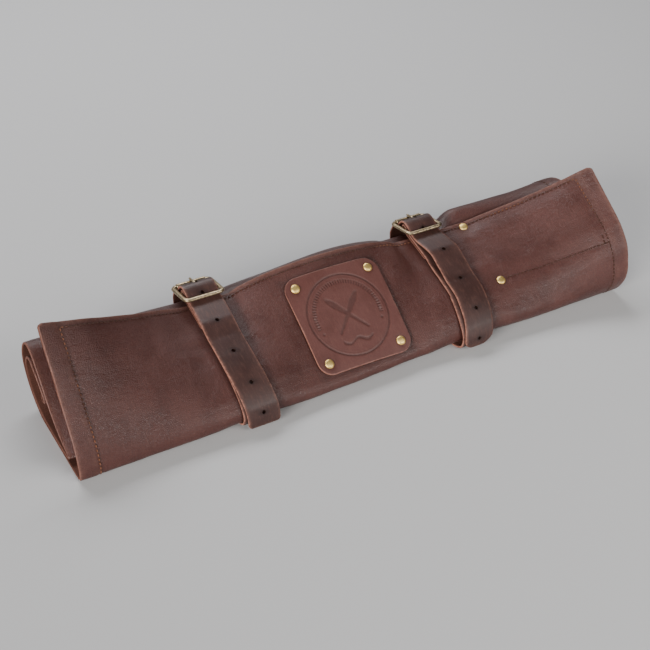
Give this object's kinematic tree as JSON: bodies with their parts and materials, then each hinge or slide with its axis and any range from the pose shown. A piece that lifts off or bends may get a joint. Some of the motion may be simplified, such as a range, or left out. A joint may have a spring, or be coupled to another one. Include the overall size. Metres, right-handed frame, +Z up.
{
  "type": "brush roll case",
  "caption": "Leather brush roll rolled up and buckled shut by straps, with a riveted label patch and an inner pocket panel for brushes.",
  "frame": {"origin": "Centre of the bounding box in plan, on the resting plane under the straps.", "axes": "+X runs along the roll to its right-hand end, +Y to its back, +Z up; the flap, patch and strap tails face -Y."},
  "size_m": [0.464, 0.1241, 0.1008],
  "materials": {
    "cover_leather": "reddish dark brown full-grain leather, pebbled, satin",
    "strap_leather": "smooth dark brown bridle leather with raw edges",
    "lining_leather": "matt thin lining leather",
    "patch_leather": "smooth dark reddish brown leather, debossed",
    "bright_brass": "polished brass caps",
    "antique_brass": "dull antique brass, worn bright on edges"
  },
  "bodies": {
    "rolled_case": {"cover": "cover_leather", "brush_pocket_panel": "lining_leather", "accessory_pocket": "lining_leather", "label_patch": "patch_leather", "patch_rivet_1": "bright_brass", "patch_rivet_2": "bright_brass", "patch_rivet_3": "bright_brass", "patch_rivet_4": "bright_brass", "pocket_rivet_1": "bright_brass", "pocket_rivet_2": "bright_brass", "strap_left": "strap_leather", "buckle_frame_left": "antique_brass", "chape_rivet_left": "bright_brass", "back_rivet_left_1": "bright_brass", "back_rivet_left_2": "bright_brass", "strap_right": "strap_leather", "buckle_frame_right": "antique_brass", "chape_rivet_right": "bright_brass", "back_rivet_right_1": "bright_brass", "back_rivet_right_2": "bright_brass"},
    "prong_left": {"buckle_prong_left": "antique_brass"},
    "roller_left": {"buckle_roller_left": "antique_brass"},
    "tail_left": {"strap_tail_left": "strap_leather"},
    "prong_right": {"buckle_prong_right": "antique_brass"},
    "roller_right": {"buckle_roller_right": "antique_brass"},
    "tail_right": {"strap_tail_right": "strap_leather"}
  },
  "joints": [
    {"name": "prong_lift_left", "type": "hinge", "parent": "rolled_case", "child": "prong_left", "pos_m": [-0.1005, 0.03819, 0.05978], "axis": [1, 0, 0], "range_deg": [0, 16]},
    {"name": "roller_spin_left", "type": "hinge", "parent": "rolled_case", "child": "roller_left", "pos_m": [-0.1005, 0.05107, 0.05806], "axis": [1, 0, 0], "continuous": true},
    {"name": "tail_lift_left", "type": "hinge", "parent": "rolled_case", "child": "tail_left", "pos_m": [-0.1005, 0.02004, 0.05778], "axis": [-1, 0, 0], "range_deg": [0, 60]},
    {"name": "prong_lift_right", "type": "hinge", "parent": "rolled_case", "child": "prong_right", "pos_m": [0.0915, 0.03819, 0.05978], "axis": [1, 0, 0], "range_deg": [0, 16]},
    {"name": "roller_spin_right", "type": "hinge", "parent": "rolled_case", "child": "roller_right", "pos_m": [0.0915, 0.05107, 0.05806], "axis": [1, 0, 0], "continuous": true},
    {"name": "tail_lift_right", "type": "hinge", "parent": "rolled_case", "child": "tail_right", "pos_m": [0.0915, 0.02004, 0.05778], "axis": [-1, 0, 0], "range_deg": [0, 60]}
  ]
}
